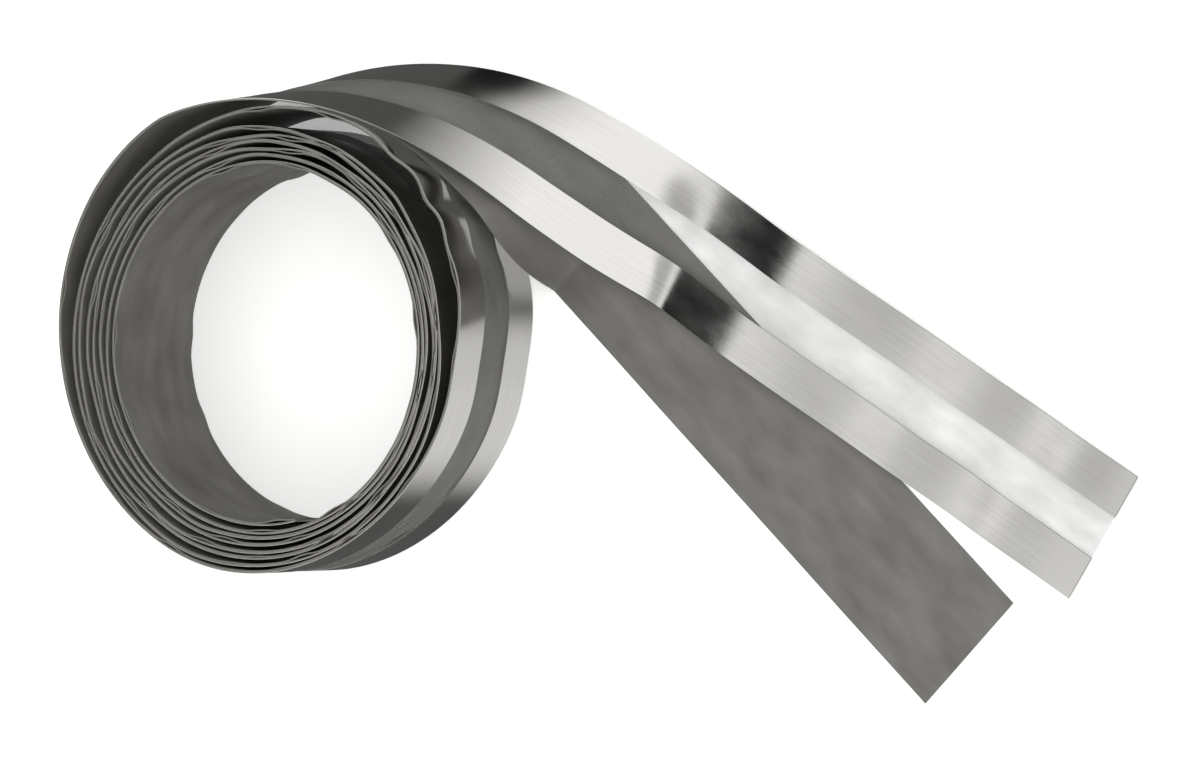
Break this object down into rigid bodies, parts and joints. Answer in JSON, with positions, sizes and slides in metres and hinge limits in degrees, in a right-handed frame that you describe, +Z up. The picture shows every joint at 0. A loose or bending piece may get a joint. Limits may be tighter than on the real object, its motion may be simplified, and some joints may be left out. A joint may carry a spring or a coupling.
{
  "type": "adhesive hinge tape coil",
  "caption": "Coil of self-adhesive hinge tape: two thin steel strips on a clear film with a folding web, its free end led off flat and peeled from a fanned release liner.",
  "frame": {"origin": "middle of the coil's core, on the surface that the coil lies on", "axes": "+Z up along the coil's axis, +X along the free end's hinge line away from the coil, +Y away from the coil towards the free end"},
  "size_m": [0.3595, 0.1998, 0.045],
  "materials": {
    "steel": "bright rolled stainless strip",
    "film": "clear glossy plastic film",
    "adhesive": "translucent tacky adhesive",
    "liner": "grey coated release paper"
  },
  "bodies": {
    "coil": {"outer_strip_coil": "steel", "inner_strip_coil": "steel", "hinge_film_coil": "film", "outer_adhesive_coil": "adhesive", "inner_adhesive_coil": "adhesive", "release_liner_coil": "liner"},
    "inner_leaf": {"inner_strip_end": "steel", "inner_film_end": "film", "inner_adhesive_end": "adhesive"},
    "outer_leaf": {"outer_strip_end": "steel", "outer_film_end": "film", "outer_adhesive_end": "adhesive"},
    "liner_flap": {"release_liner_flap": "liner"}
  },
  "joints": [
    {"name": "tape_lift", "type": "hinge", "parent": "coil", "child": "inner_leaf", "pos_m": [0.1153, 0.10153, 0.00101], "axis": [0, -1, 0], "range_deg": [0, 40]},
    {"name": "leaf_fold", "type": "hinge", "parent": "inner_leaf", "child": "outer_leaf", "pos_m": [0.1153, 0.10153, 0.00079], "axis": [1, 0, 0], "range_deg": [0, 172]},
    {"name": "liner_swing", "type": "hinge", "parent": "coil", "child": "liner_flap", "pos_m": [0.07209, 0.08311, 0], "axis": [0, 0, 1], "range_deg": [-15, 11.5]}
  ]
}
